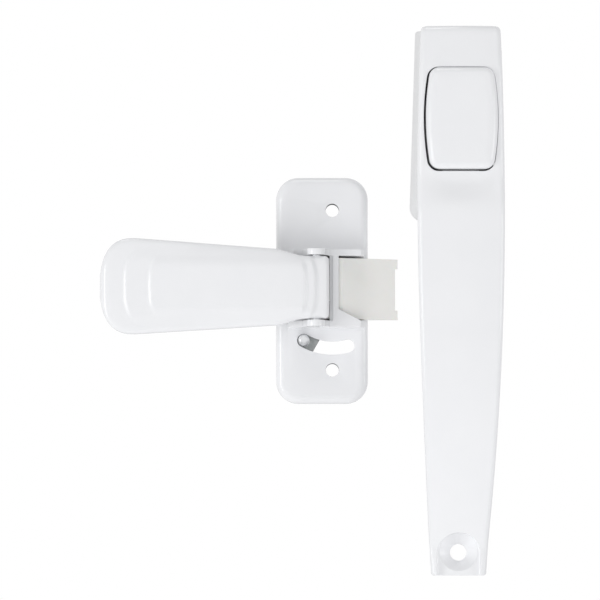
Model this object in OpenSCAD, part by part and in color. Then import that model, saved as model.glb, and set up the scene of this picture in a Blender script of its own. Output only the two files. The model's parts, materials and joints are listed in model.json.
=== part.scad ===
// Push-button door handle set.
// The outside half is a pull handle with a push button that drives a plunger through the door.
// The inside half is a latch with a pull lever, a sprung bolt and a lock that shuts off the plunger.
// Each piece is drawn lying flat: x to the right, y up the door, z out from the door's face.
// stand_up() turns it into the part's frame: z up, y into the door, origin on the plunger's axis.

/* [Door fitting] */
// Spacing of the two screws that clamp the latch to the handle
screw_spacing = 44.45; // [43:0.05:52]
// Thickness of the door that the plunger crosses
door_t = 32; // [20:1:45]
// Latch axis to the left of the plunger's axis
latch_left = 34.9; // [34:0.1:60]
// Latch axis below the plunger's axis
latch_down = 44.8; // [20:0.1:80]
// Gap between pieces that slide past each other
slide_gap = 0.3; // [0.25:0.05:0.4]
// Radial clearance of a pin in its hole
pin_gap = 0.05; // [0.02:0.01:0.1]

/* [Pull handle] */
// Handle above the upper screw
head_margin = 3.5; // [3:0.1:6]
// Foot's end below the plunger's axis
foot_down = 123.9; // [115:0.1:150]
// Width at the top of the head
head_w = 21.8; // [21:0.1:24]
// Fullest width, at the shoulder of the grip
grip_w = 23.8; // [23:0.1:27]
// Width at the end of the foot
foot_w = 15.2; // [14.5:0.1:18]
// Face of the head off the door
head_off = 31; // [29:0.5:36]
// Crest of the grip off the door
grip_off = 32; // [30:0.5:38]
// Thickness of the grip
grip_t = 8; // [7:0.5:10]
// Thickness of the foot
foot_t = 5; // [4.5:0.1:7]
// Start of the bend to the foot, below the plunger's axis
bend_down = 45; // [40:1:60]
// Radius of the front edges
edge_r = 1.6; // [1.2:0.1:3]
// Depth of the finger channel along the back of the grip
channel_d = 2.2; // [1:0.1:3]
// Spread of the standoff's walls at the door, each side
flare = 1.4; // [0.8:0.1:2]
// Spread of the standoff's upper end at the door
top_flare = 3.2; // [1:0.1:3.6]
// Radius of the standoff's lower corners
standoff_r = 4; // [3:0.1:5]
// Radius of the tapped screw holes
tap_r = 1.4; // [1.2:0.05:1.7]
// Depth of the tapped screw holes
tap_depth = 20; // [12:0.5:24]
// Radius of the foot's screw hole
foot_hole_r = 2.3; // [1.8:0.1:2.6]
// Foot's screw hole above the foot's end
foot_hole_up = 6.4; // [6:0.1:8]
// Half width of the pocket round the foot's screw
pocket_r = 6.1; // [5.8:0.1:6.4]
// Radius of the countersink round the foot's screw hole
foot_sink_r = 5.2; // [4:0.1:5.2]
// Depth of that countersink
foot_sink_d = 2.2; // [1.6:0.1:2.4]
// Depth of that pocket below the foot's rims
pocket_d = 1.4; // [0.8:0.1:2]

/* [Push button] */
// Width of the button at its middle
button_w = 19.5; // [17:0.1:19.8]
// Height of the button
button_h = 27.7; // [24:0.1:29.5]
// Bulge of the button's long sides
button_bulge = 1.3; // [0.8:0.1:1.8]
// Corner radius of the button
button_r = 2.8; // [2:0.1:4]
// Button's face above the head's face
button_proud = 2; // [1:0.1:3]
// Gap round the button
button_gap = 0.5; // [0.4:0.05:0.6]
// Play that the button has taken up, to the right and up
button_sit = 0.25; // [0:0.05:0.25]
// Stroke of the button
stroke = 8; // [5:0.5:9]
// Wall of the head in front of the button's chamber
front_wall = 3.2; // [2.4:0.1:4]
// Plunger's section along the door's height
plunger_w = 5.5; // [4:0.1:6]
// Plunger's section across
plunger_t = 3; // [2:0.1:3.4]
// Wire of the button's spring
button_wire = 0.9; // [0.6:0.05:1.1]

/* [Latch base] */
// Width of the base plate
plate_w = 25.5; // [25.2:0.1:28]
// Height of the base plate
plate_h = 63; // [61:0.1:72]
// Base plate to the right of the latch axis
plate_right = 9.9; // [9.8:0.1:10.1]
// Thickness of the base plate
plate_t = 3.6; // [3.4:0.1:4.4]
// Corner radius of the base plate
plate_r = 6.2; // [5:0.1:7.5]
// Width of the plate's rounded rim
rim_w = 2.5; // [1.5:0.1:3]
// Radius of the latch's screw holes
screw_hole_r = 1.85; // [1.6:0.05:2.2]
// Thickness of the two cheeks
cheek_t = 1.7; // [1.4:0.1:2]
// Height of the cheeks off the door
cheek_off = 11.5; // [11.2:0.1:12]

/* [Lever] */
// Length of the lever's paddle
lever_len = 63; // [55:0.5:75]
// Width of the paddle near its tip
lever_tip_w = 26.4; // [23:0.1:30]
// Width of the paddle where it leaves the cheeks
lever_neck_w = 21.2; // [20:0.1:23]
// Top of the paddle off the door, at the tip
lever_tip_off = 23; // [21:0.1:28]
// Top of the paddle off the door, at the hub
lever_hub_off = 17.6; // [17.4:0.1:19]
// Wall of the hollow paddle
lever_wall = 1.6; // [1.2:0.1:2]
// Height of each finger step
finger_step = 0.6; // [0.3:0.05:0.7]
// Pivot off the door
pivot_off = 13.8; // [13.8:0.1:14.4]
// Radius of the pivot pin
pivot_r = 1; // [0.8:0.05:1.1]
// Swing of the lever in degrees
lever_swing = 50; // [40:1:50]

/* [Bolt and lock] */
// Width of the bolt
bolt_w = 16.8; // [16.6:0.1:18]
// Gap between the bolt and each cheek
bolt_gap = 0.6; // [0.4:0.05:0.8]
// Bolt's end beyond the latch axis
bolt_reach = 17.4; // [16:0.1:22]
// Length of the two lugs on the bolt's end
bolt_lug = 0.7; // [0.5:0.1:1.5]
// Top of the bolt off the door
bolt_off = 10.2; // [10:0.1:10.3]
// Wall of the hollow bolt
bolt_wall = 1.6; // [1.3:0.1:2]
// Wire of the bolt's spring
bolt_wire = 0.5; // [0.4:0.05:0.55]
// Radius of the lock pin's path
lock_path_r = 16.1; // [15:0.1:16.4]
// Radius of the lock pin
lock_pin_r = 1.5; // [1.2:0.05:1.6]
// Lock pin's start, in degrees left of straight down
lock_start = 29.5; // [25:0.1:31]
// Turn of the lock in degrees
lock_turn = 45; // [40:1:46]
// Thickness of the lock plate
lock_t = 0.8; // [0.6:0.05:0.9]

/* [Hidden] */
$fn = 48;
// Overlap that makes cuts clean and joins sound
eps = 0.05;
bite = 0.5;

// Handle
head_up = screw_spacing / 2 + head_margin;
shoulder_y = -screw_spacing / 2;
top_bevel = 2.2;
head_fall = 1.1;
crown = 0.5;
scoop = 0.7;
back_relief = 0.05;
foot_front_y = -foot_down + 8.7;
foot_back_y = -foot_down + 16.5;
bend_power = 2.2;
crest_y = -bend_down;
foot_hole_y = -foot_down + foot_hole_up;
pocket_y = foot_hole_y - 0.7;
upper_flare = flare / 2 + 0.1;
standoff_top_r = 1.5;

// Button and its chamber
chamber_gap = 0.6;
flange_reach = 2;
flange_half = 5;
flange_t = 2;
well_h = button_h + 2 * button_gap;
chamber_x = button_w / 2 + button_gap + 0.2;
chamber_y = button_h / 2 + flange_reach + chamber_gap;
chamber_top = head_off - front_wall;
flange_top = chamber_top - slide_gap;
skirt_z = flange_top - flange_t;
button_face = head_off + button_proud;
button_edge = 1.3;
button_shell = 1.6;
hub_r = 5;
plunger_top = button_face - 4.2;
plunger_pin_r = 0.75;
plunger_pin_z = skirt_z + 2.6;
retainer_low = 0.4;
retainer_t = 1.4;
retainer_top = retainer_low + retainer_t;
post_r = 2.4;
post_room = 5.5;
post_top = skirt_z - stroke - post_room;
small_screw_r = 0.75;
small_head_r = 1.5;
small_sink = small_head_r - small_screw_r;
screw_room = 0.2;
retainer_screw_len = 5.5;
retainer_post_x = chamber_x - post_r + bite;
retainer_post_y = chamber_y - post_r + bite;
retainer_screw_x = retainer_post_x - 0.3;
retainer_screw_y = retainer_post_y - 0.3;
retainer_screw_xy = [
  [retainer_screw_x, retainer_screw_y],
  [-retainer_screw_x, -retainer_screw_y]
];
button_coil_r = norm([plunger_w, plunger_t]) / 2 + slide_gap + 0.15 + button_wire / 2;

// Latch
plate_left = plate_right - plate_w;
bolt_half = bolt_w / 2;
cheek_in = bolt_half + bolt_gap;
cheek_out = cheek_in + cheek_t;
cheek_left = -12.3;
cheek_right = plate_right - 1.1;
pivot_x = -4.5;
ear_r = pivot_r + 1.6;
hub_wall = 0.7;
lever_hub_r = pivot_r + pin_gap + hub_wall;
lever_hub_half = cheek_in - slide_gap - 0.05;
lever_end_x = pivot_x + 3.55;
lever_tip_x = lever_end_x - lever_len;
paddle_tip_depth = 3.4;
paddle_hub_depth = 3.1;
step_up = [6.7, 13.7];
step_down = [lever_len - 6.4, lever_len - 3.6];
step_fade = [9.7, 7.8];
hollow_from = lever_wall + 0.6;
heel_len = 8.5;
heel_r = 1.4;
heel_arm = 1.2;
heel_lean = 12;
heel_half = 1.4;
heel_room = 0.35;
heel_tip_x = pivot_x + heel_len * sin(heel_lean);
heel_mid = plunger_w / 2 + 0.85 + heel_half;
bolt_low = plate_t + slide_gap;
bolt_pocket_x = heel_tip_x - heel_r - heel_room;
bolt_tail = bolt_pocket_x - bolt_wall - 0.3;
bolt_slope_x = 3;
bolt_tip_off = 5.2;
bolt_travel = heel_len * (sin(heel_lean) + sin(lever_swing - heel_lean));
ramp_x = -plunger_t / 2 - 0.6;
spring_seat_x = ramp_x - 0.9;
spring_stop_x = plate_left + 1.4;
spring_stop_t = 1.2;
spring_stop_half = 3.2;
bolt_coil_r = 1.8;
bolt_spring_z = 6.7;
bridge_low = bolt_off + slide_gap + 0.05;
bridge_left = 0.1;
bridge_w = 1.6;
bridge_web = 3.2;

// Lock
cover_low = 0.3;
cover_t = 0.6;
cover_gap = 0.15;
lock_low = cover_low + cover_t + cover_gap;
lock_top = lock_low + lock_t;
washer_gap = 0.05;
washer_t = 0.3;
cavity_top = lock_top + 2 * washer_gap + washer_t;
lock_disc_r = plate_right - 2.5;
lock_arm_half = 3.7;
lock_arm_end = lock_path_r + lock_pin_r + 1.1;
lock_room = 0.4;
lock_neck_r = lock_pin_r - 0.4;
lock_slot_half = lock_pin_r + 0.35;
lock_pin_top = 7.2;
plunger_hole_r = norm([plunger_w, plunger_t]) / 2 + slide_gap;
cover_right = plate_right - 1.3;
cover_left = plate_left + 1.4;
cover_top = cheek_out + 2;
cover_bottom = lock_slot_half + 0.5 - lock_path_r * cos(lock_start);
cover_rim = 0.1;
cover_screw_len = 2.5;
cover_screw_in = 2.5;
cover_screw_xy = [
  [cover_left + cover_screw_in, cover_top - cover_screw_in],
  [cover_right - cover_screw_in, cover_top - cover_screw_in],
  [cover_left + cover_screw_in, cover_bottom + 2 * cover_screw_in]
];

function mix(a, b, t) = a + (b - a) * t;
function ease(t) = let (u = min(1, max(0, t))) u * u * (3 - 2 * u);
function bump(t) = ease(t + 1) * ease(1 - t);

// Points along an arc, both ends included
function arc(c, r, a0, a1, n) = [
  for (i = [0:n])
    let (a = mix(a0, a1, i / n))
    c + r * [cos(a), sin(a)]
];

// The same outline at height z
function lift(outline, z) = [for (p = outline) [p.x, p.y, z]];

// Solid over a stack of rings with equal numbers of points, each anticlockwise seen from the last
module skin(rings) {
  n = len(rings[0]);
  last = len(rings) - 1;
  points = [for (ring = rings) each ring];
  sides = [
    for (i = [0:last - 1])
      for (j = [0:n - 1])
        let (k = (j + 1) % n, a = i * n, b = a + n)
        each [[a + j, b + j, b + k], [a + j, b + k, a + k]]
  ];
  ends = [[for (j = [0:n - 1]) j], [for (j = [n - 1:-1:0]) last * n + j]];
  polyhedron(points, concat(ends, sides), convexity = 8);
}

// Wire coil along z from z0 to z1, measured over the wire
module coil(r, wire, z0, z1, turns) {
  steps = 14;
  sides = 6;
  wire_r = wire / 2;
  rings = [
    for (i = [0:turns * steps])
      let (
        a = 360 * i / steps,
        t = min(1, max(0, (i / steps - 0.8) / (turns - 1.6))),
        z = mix(z0 + wire_r, z1 - wire_r, t)
      )
      [
        for (j = [0:sides - 1])
          let (b = -360 * j / sides, d = r + wire_r * cos(b))
          [d * cos(a), d * sin(a), z + wire_r * sin(b)]
      ]
  ];
  skin(rings);
}

// Extrudes an outline drawn in x and z along y, from y0 to y1
module along_y(y0, y1) {
  translate([0, y1, 0])
    rotate([90, 0, 0])
      linear_extrude(y1 - y0)
        children();
}

module stand_up() {
  rotate([90, 0, 0])
    children();
}

// Places a piece of the latch, drawn about the latch axis
module at_latch() {
  stand_up()
    translate([-latch_left, -latch_down, 0])
      children();
}

// Countersunk screw with its head's face at z
module small_screw(xy, z, length) {
  translate([xy.x, xy.y, z]) {
    cylinder(r1 = small_head_r, r2 = small_screw_r, h = small_sink);
    cylinder(r = small_screw_r, h = length);
  }
}

// Hole that takes a small screw
module small_screw_hole(xy, z, length) {
  translate([xy.x, xy.y, z - eps])
    cylinder(r = small_screw_r + pin_gap, h = length + 2 * eps);
}

// Countersink that takes a small screw's head
module small_screw_sink(xy, z) {
  translate([xy.x, xy.y, z - eps])
    cylinder(r1 = small_head_r + pin_gap + eps, r2 = small_screw_r + pin_gap, h = small_sink + eps);
}

// Half width of the handle's front at height y
function handle_half(y) =
  y > shoulder_y
  ? mix(grip_w, head_w, pow((y - shoulder_y) / (head_up - shoulder_y), 2)) / 2
  : mix(grip_w, foot_w, pow((shoulder_y - y) / (foot_down + shoulder_y), 1.8)) / 2;

// Front of the straight stretch, which falls away at the top and rises below the button
function front_off(y) =
  y > well_h / 2
  ? head_off - head_fall * (y - well_h / 2) / (head_up - well_h / 2)
  : mix(head_off, grip_off, ease((-y - well_h / 2) / 12));

// Bulge of the front face, hollowed below the button
function front_crown(y) = crown - (crown + scoop) * bump((y + well_h / 2 + 3) / 7);

// Ring of the handle between a front point and a back point, each [y, z]
function handle_ring(f, b, trim) =
  let (
    t = norm(f - b),
    wf = handle_half(f.x) - trim,
    wb = wf - 0.6,
    rf = min(edge_r, t * 0.42),
    rb = min(1.6, t * 0.3),
    bow = front_crown(f.x) * ease((f.x - foot_front_y) / 20),
    free = ease((b.x - foot_back_y) / 14) * ease((-b.x - screw_spacing / 2 - head_margin) / 8),
    dig = back_relief + channel_d * free,
    xf = wf - rf,
    xb = wb - rb,
    section = concat(
      arc([xb, rb], rb, -90, 0, 3),
      arc([xf, t - rf], rf, 0, 90, 6),
      [for (i = [1:8]) let (x = xf * (1 - i / 4.5)) [x, t + bow * (1 - pow(x / xf, 2))]],
      arc([-xf, t - rf], rf, 90, 180, 6),
      arc([-xb, rb], rb, 180, 270, 3),
      [for (i = [1:7]) let (x = xb * (i / 4 - 1)) [x, dig * (1 - pow(x / xb, 2))]]
    )
  )
  [for (p = section) let (q = b + (f - b) * p.y / t) [p.x, q.x, q.y]];

// Straight stretch of the head and grip at height y, with the bevel at the top end
function straight_ring(y, fall, trim) =
  let (z = front_off(y))
  handle_ring([y, z - fall], [y, z - grip_t], trim);

// Bend of the grip at share s of the way from the foot to the crest
function bend_ring(s) =
  let (
    up = 1 - pow(1 - s, bend_power),
    f = [mix(foot_front_y, crest_y, s), mix(foot_t, grip_off, up)],
    b = [mix(foot_back_y, crest_y, s), (grip_off - grip_t) * up]
  )
  handle_ring(f, b, 0);

// Foot, from the end of the bend to the handle's end
function foot_ring(t, trim) =
  let (
    f = [mix(foot_front_y, -foot_down, t), foot_t - trim / 2],
    b = [mix(foot_back_y, -foot_down, t), 0]
  )
  handle_ring(f, b, trim);

module handle_skin() {
  straight_n = 26;
  bend_n = 16;
  straight_top = head_up - top_bevel;
  skin(concat(
    [
      straight_ring(head_up, 1.5, 1.1),
      straight_ring(head_up - top_bevel * 0.2, 0.8, 0.5),
      straight_ring(head_up - top_bevel * 0.55, 0.25, 0.15)
    ],
    [for (i = [0:straight_n - 1]) straight_ring(mix(straight_top, crest_y, i / straight_n), 0, 0)],
    [for (i = [0:bend_n - 1]) bend_ring(1 - i / bend_n)],
    [for (t = [0, 0.25, 0.5, 0.75, 0.9]) foot_ring(t, 0)],
    [foot_ring(0.97, 0.2), foot_ring(1, 0.7)]
  ));
}

// Hollow post from the door up to the back of the head
module standoff() {
  low_half = grip_w / 2 + flare;
  high_half = head_w / 2 + upper_flare;
  join_half = head_w / 2 + 0.1;
  end_y = head_up - 0.2;
  high_y = end_y - standoff_top_r - 0.7;
  join_z = head_off - grip_t + 2;
  inset = flare * join_z / head_off;
  hull()
    for (side = [-1, 1]) {
      translate([side * (low_half - standoff_r), standoff_r - end_y, 0])
        cylinder(r = standoff_r, h = eps, $fn = 32);
      translate([side * (high_half - standoff_top_r), high_y + top_flare, 0])
        cylinder(r = standoff_top_r, h = eps, $fn = 32);
      translate([side * (low_half - inset - standoff_r), standoff_r - end_y + inset, join_z])
        cylinder(r = standoff_r, h = eps, $fn = 32);
      translate([side * (join_half - standoff_top_r), high_y, join_z])
        cylinder(r = standoff_top_r, h = eps, $fn = 32);
    }
}

// Outline of the button, a barrel with round corners, drawn in by inset
function barrel(inset) =
  let (
    h = button_h / 2,
    w = button_w / 2,
    side_r = (h * h + button_bulge * button_bulge) / (2 * button_bulge),
    cy = h - button_r,
    a = asin(cy / (side_r - button_r)),
    cx = w - side_r + (side_r - button_r) * cos(a),
    rs = side_r - inset,
    rc = max(button_r - inset, 0.2),
    first = a + 10
  )
  concat(
    arc([w - side_r, 0], rs, -a, a, 10),
    arc([cx, cy], rc, first, 90, 6),
    arc([-cx, cy], rc, 90, 180 - first, 6),
    arc([side_r - w, 0], rs, 180 - a, 180 + a, 10),
    arc([-cx, -cy], rc, 180 + first, 270, 6),
    arc([cx, -cy], rc, 270, 360 - first, 6)
  );

module retainer_posts() {
  for (side = [-1, 1])
    for (end = [-1, 1])
      translate([side * retainer_post_x, end * retainer_post_y, retainer_top])
        cylinder(r = post_r, h = post_top - retainer_top);
}

module handle_casting() {
  color("white")
    stand_up()
      difference() {
        union() {
          difference() {
            union() {
              handle_skin();
              standoff();
            }
            translate([-chamber_x, -chamber_y, -eps])
              cube([2 * chamber_x, 2 * chamber_y, chamber_top + eps]);
            linear_extrude(head_off + grip_t)
              polygon(barrel(-button_gap));
          }
          retainer_posts();
        }
        for (end = [-1, 1])
          translate([0, end * screw_spacing / 2, -eps])
            cylinder(r = tap_r, h = tap_depth + eps);
        for (xy = retainer_screw_xy)
          small_screw_hole(xy, retainer_top, retainer_screw_len - retainer_t + screw_room);
        translate([0, foot_hole_y, -eps])
          cylinder(r = foot_hole_r, h = foot_t + 2 * eps);
        translate([0, foot_hole_y, foot_t - pocket_d - foot_sink_d])
          cylinder(r1 = foot_hole_r, r2 = foot_sink_r, h = foot_sink_d);
        translate([0, pocket_y, foot_t - pocket_d]) {
          cylinder(r = pocket_r, h = grip_off);
          translate([-pocket_r, -foot_down, 0])
            cube([2 * pocket_r, foot_down, grip_off]);
        }
      }
}

// Slot for the plunger with its running gap
module plunger_slot(z0, z1) {
  w = plunger_t + 2 * slide_gap;
  h = plunger_w + 2 * slide_gap;
  translate([-w / 2, -h / 2, z0])
    cube([w, h, z1 - z0]);
}

// Round-edged cap with a slightly domed face
module button_cap() {
  edge = [
    for (i = [0:5])
      let (a = 18 * i)
      [button_edge * (1 - cos(a)), button_face - button_edge * (1 - sin(a))]
  ];
  skin(concat(
    [lift(barrel(0), skirt_z)],
    [for (p = edge) lift(barrel(p.x), p.y - 0.25)],
    [for (d = [2.4, 4, 6]) lift(barrel(d), button_face - 0.25 * pow(1 - d / 6, 2))]
  ));
}

module push_button() {
  inside_z = button_face - button_shell - button_edge;
  flange_h = flange_reach + 2 * bite;
  flange_mid = button_h / 2 + flange_reach - flange_h / 2;
  color("white")
    stand_up()
      difference() {
        union() {
          translate([button_sit, button_sit, 0])
            difference() {
              button_cap();
              translate([0, 0, skirt_z - eps])
                linear_extrude(inside_z - skirt_z + eps)
                  polygon(barrel(button_shell));
            }
          translate([0, 0, skirt_z])
            cylinder(r = hub_r, h = inside_z - skirt_z + bite);
          for (end = [-1, 1])
            translate([-flange_half, end * flange_mid - flange_h / 2, skirt_z])
              cube([2 * flange_half, flange_h, flange_t]);
        }
        translate([-plunger_t / 2 - pin_gap, -plunger_w / 2 - pin_gap, skirt_z - eps])
          cube([plunger_t + 2 * pin_gap, plunger_w + 2 * pin_gap, plunger_top - skirt_z + eps]);
        translate([-hub_r - eps, 0, plunger_pin_z])
          rotate([0, 90, 0])
            cylinder(r = plunger_pin_r + pin_gap, h = 2 * hub_r + 2 * eps);
      }
}

module plunger_bar() {
  tip = 2;
  low = -door_t;
  high = plunger_top - pin_gap;
  half = plunger_t / 2;
  color("silver")
    stand_up()
      difference() {
        along_y(-plunger_w / 2, plunger_w / 2)
          polygon([
            [-half, low + tip], [0, low], [half, low + tip], [half, high], [-half, high]
          ]);
        translate([-half - eps, 0, plunger_pin_z])
          rotate([0, 90, 0])
            cylinder(r = plunger_pin_r + pin_gap, h = plunger_t + 2 * eps);
      }
}

module plunger_pin() {
  half = hub_r - 0.2;
  color("silver")
    stand_up()
      translate([-half, 0, plunger_pin_z])
        rotate([0, 90, 0])
          cylinder(r = plunger_pin_r, h = 2 * half);
}

module button_spring() {
  seat = 0.02;
  color("silver")
    stand_up()
      coil(button_coil_r, button_wire, retainer_top + seat, skirt_z - seat, 8);
}

module retainer_plate() {
  half_x = chamber_x - 0.4;
  half_y = chamber_y - 0.4;
  color("silver")
    stand_up()
      difference() {
        translate([-half_x, -half_y, retainer_low])
          cube([2 * half_x, 2 * half_y, retainer_t]);
        plunger_slot(0, retainer_top + eps);
        for (xy = retainer_screw_xy) {
          small_screw_hole(xy, retainer_low, retainer_t);
          small_screw_sink(xy, retainer_low);
        }
      }
}

module retainer_screws() {
  color("silver")
    stand_up()
      for (xy = retainer_screw_xy)
        small_screw(xy, retainer_low, retainer_screw_len);
}

// Rounded rectangle of the base plate, drawn in by inset
function plate_outline(inset) =
  let (
    r = plate_r - inset,
    x0 = plate_left + plate_r,
    x1 = plate_right - plate_r,
    y1 = plate_h / 2 - plate_r
  )
  concat(
    arc([x1, -y1], r, -90, 0, 8),
    arc([x1, y1], r, 0, 90, 8),
    arc([x0, y1], r, 90, 180, 8),
    arc([x0, -y1], r, 180, 270, 8)
  );

module plate_skin() {
  rim_rise = 2.4;
  rim = [for (a = [0:18:90]) [rim_w * (1 - cos(a)), plate_t - rim_rise * (1 - sin(a))]];
  skin(concat([lift(plate_outline(0), 0)], [for (p = rim) lift(plate_outline(p.x), p.y)]));
}

// Side of a cheek in x and z, with the ear that carries the pivot pin
module cheek_side() {
  low = plate_t - 1;
  union() {
    polygon([
      [cheek_left, low], [cheek_left, cheek_off - 2], [cheek_left + 1.6, cheek_off],
      [pivot_x - ear_r - 1.2, cheek_off], [pivot_x - ear_r, pivot_off],
      [pivot_x + ear_r, pivot_off], [pivot_x + ear_r + 1.2, cheek_off],
      [cheek_right - 1, cheek_off], [cheek_right, cheek_off - 1], [cheek_right, low]
    ]);
    translate([pivot_x, pivot_off])
      circle(r = ear_r);
  }
}

// Bridge over the bolt from cheek to cheek, with a web along the lower cheek
module bridge() {
  edge = cheek_in + bite;
  right = bridge_left + bridge_w;
  web_end = cheek_right - 1;
  translate([0, 0, bridge_low])
    linear_extrude(cheek_off - bridge_low)
      polygon([
        [bridge_left, -edge], [web_end, -edge], [web_end, -cheek_in],
        [right, bridge_web - cheek_in], [right, edge], [bridge_left, edge]
      ]);
}

// Ring segment between two radii, turned from straight down by a0 and swept by turn
module sweep(r0, r1, a0, turn, z0, z1) {
  rotate([0, 0, a0 - 90])
    rotate_extrude(angle = turn)
      translate([r0, z0])
        square([r1 - r0, z1 - z0]);
}

module lock_slot() {
  half = lock_slot_half;
  sweep(lock_path_r - half, lock_path_r + half, -lock_start, lock_turn, 0, plate_t + 1);
  for (a = [-lock_start, lock_turn - lock_start])
    rotate([0, 0, a])
      translate([0, -lock_path_r, 0])
        cylinder(r = half, h = plate_t + 1);
}

// A point turned about the axis
function turned(p, a) = [p.x * cos(a) - p.y * sin(a), p.x * sin(a) + p.y * cos(a)];

// Outline of the lock plate's arm over its whole turn, with room round it
function arm_room() =
  let (
    half = lock_arm_half + lock_room,
    end = norm([lock_arm_half, lock_arm_end]) + lock_room,
    a0 = -lock_start,
    a1 = lock_turn - lock_start
  )
  concat(
    [turned([-half, 0], a0), turned([-half, -end], a0)],
    arc([0, 0], end, a0 - 90, a1 - 90, 16),
    [turned([half, -end], a1), turned([half, 0], a1)]
  );

// Room behind the plate for the lock plate and its cover
module lock_cavity() {
  cover_w = cover_right - cover_left + 2 * cover_rim;
  cover_h = cover_top - cover_bottom + 2 * cover_rim;
  translate([0, 0, -eps]) {
    cylinder(r = lock_disc_r + lock_room, h = cavity_top + eps);
    linear_extrude(cavity_top + eps)
      polygon(arm_room());
    translate([cover_left - cover_rim, cover_bottom - cover_rim, 0])
      cube([cover_w, cover_h, cover_low + cover_t + eps]);
  }
}

module latch_base() {
  stop_low = plate_t - 2;
  color("white")
    at_latch()
      difference() {
        union() {
          plate_skin();
          along_y(cheek_in, cheek_out)
            cheek_side();
          along_y(-cheek_out, -cheek_in)
            cheek_side();
          bridge();
          translate([spring_stop_x - spring_stop_t, -spring_stop_half, stop_low])
            cube([spring_stop_t, 2 * spring_stop_half, bolt_spring_z + bolt_coil_r + bite - stop_low]);
        }
        lock_cavity();
        lock_slot();
        translate([0, 0, -eps])
          cylinder(r = plunger_hole_r, h = plate_t + 1);
        for (end = [-1, 1])
          translate([0, end * screw_spacing / 2, -eps])
            cylinder(r = screw_hole_r, h = plate_t + 1);
        for (xy = cover_screw_xy)
          small_screw_hole(xy, cover_low + cover_t, cover_screw_len - cover_t + screw_room);
        for (xy = cover_screw_xy)
          small_screw_sink(xy, cover_low);
        translate([pivot_x, cheek_out + eps, pivot_off])
          rotate([90, 0, 0])
            cylinder(r = pivot_r + 0.01, h = 2 * cheek_out + 2 * eps);
      }
}

// Half width of the paddle at distance d from its tip
function paddle_half(d) =
  let (
    neck = lever_len - 15,
    body = mix(lever_tip_w, lever_neck_w, max(0, d - 10) / (neck - 10)) / 2,
    hub = mix(body, lever_hub_half, ease((d - neck) / 9)),
    nose = min(1, max(0.013, d / 9))
  )
  (d > neck ? hub : body) * pow(1 - pow(1 - nose, 2.4), 1 / 2.4);

// Bow of the finger steps: they wrap round the tip, and the other way at the hub
function paddle_bow(d) =
  6 * ease((d - 0.2) / 7) * (1 - ease((d - 16) / 14))
  - 1.6 * ease((d - lever_len + 16) / 8) * (1 - ease((d - lever_len + 3.4) / 3));

// Height that the finger steps add at distance d and height y
function finger_rise(d, y) =
  let (
    rise = [
      for (i = [0, 1])
        finger_step
        * ease(d - step_up[i] + 0.5)
        * (1 - ease(d - step_down[1 - i] + 0.5))
        * (1 - ease(abs(y) / step_fade[i] * 2.5 - 1.5))
    ]
  )
  rise[0] + rise[1];

// Underside of the paddle's rim and the depth from there to its top, at distance d from the tip
function paddle_depth(d) = mix(paddle_tip_depth, paddle_hub_depth, d / lever_len);
function paddle_low(d) =
  mix(lever_tip_off, lever_hub_off, d / lever_len) - 2 * finger_step - paddle_depth(d);

// Round-shouldered cross-section in y and z
function shoulder(half, low, high, n) = [
  for (j = [0:n])
    let (a = 180 * j / n)
    [half * sign(cos(a)) * pow(abs(cos(a)), 0.4), low + high * pow(sin(a), 0.4)]
];

// How far a face has risen at distance d from a rounded end of radius r
function rounded(d, r) = sqrt(1 - pow(1 - min(1, d / r), 2));

// Ring of the paddle's outside, bowed so that its lines follow the finger steps
function paddle_ring(d) =
  let (
    bow = paddle_bow(d),
    half = paddle_half(d + bow),
    high = paddle_depth(d) * rounded(d, 2.6) * rounded(lever_len - d + 0.3, 1.2)
  )
  [
    for (p = shoulder(half, paddle_low(d), high, 18))
      [lever_tip_x + d + bow * pow(abs(p.x) / half, 3), p.x, p.y + finger_rise(d, p.x)]
  ];

// Ring of the hollow underneath
function hollow_ring(d) =
  let (
    half = paddle_half(d) - lever_wall,
    low = paddle_low(d) - bite,
    high = (paddle_depth(d) - lever_wall) * rounded(d - hollow_from + 0.3, 2) + bite
  )
  [for (p = shoulder(half, low, high, 12)) [lever_tip_x + d, p.x, p.y]];

module paddle() {
  near = [-0.5, -0.17, 0.17, 0.5];
  outside = concat(
    [0.13, 0.35, 0.8, 1.5, 2.6, 3.8, 5],
    [for (s = near) step_up[0] + s],
    [8.6, 10.4, 12],
    [for (s = near) step_up[1] + s],
    [for (i = [0:9]) mix(step_up[1] + 2.5, step_down[0] - 1.6, i / 9)],
    [for (s = near) step_down[0] + s],
    [for (s = near) step_down[1] + s],
    [lever_len - 2, lever_len - 1, lever_len - 0.5, lever_len - 0.2, lever_len]
  );
  hollow_end = lever_len - lever_wall;
  inside = concat(
    [for (t = [0, 0.5, 1.2, 2.2, 4, 7]) hollow_from + t],
    [for (i = [1:9]) mix(hollow_from + 7, hollow_end, i / 9)]
  );
  difference() {
    skin([for (d = outside) paddle_ring(d)]);
    skin([for (d = inside) hollow_ring(d)]);
  }
}

// Side of the heel in x and z: an arm from the hub to the round tip that drives the bolt
module heel_side() {
  translate([pivot_x, pivot_off])
    rotate(heel_lean) {
      translate([0, -heel_len])
        circle(r = heel_r);
      polygon([[-heel_arm, 0], [-1, -heel_len], [1, -heel_len], [heel_arm, 0]]);
    }
}

module lever() {
  color("white")
    at_latch()
      difference() {
        union() {
          paddle();
          along_y(-lever_hub_half, lever_hub_half)
            translate([pivot_x, pivot_off])
              circle(r = lever_hub_r);
          for (side = [-1, 1])
            along_y(side * heel_mid - heel_half, side * heel_mid + heel_half)
              heel_side();
        }
        translate([pivot_x, cheek_out, pivot_off])
          rotate([90, 0, 0])
            cylinder(r = pivot_r + pin_gap, h = 2 * cheek_out);
      }
}

module lever_pin() {
  half = cheek_out + 0.2;
  color("silver")
    at_latch()
      translate([pivot_x, half, pivot_off])
        rotate([90, 0, 0])
          cylinder(r = pivot_r, h = 2 * half);
}

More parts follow.
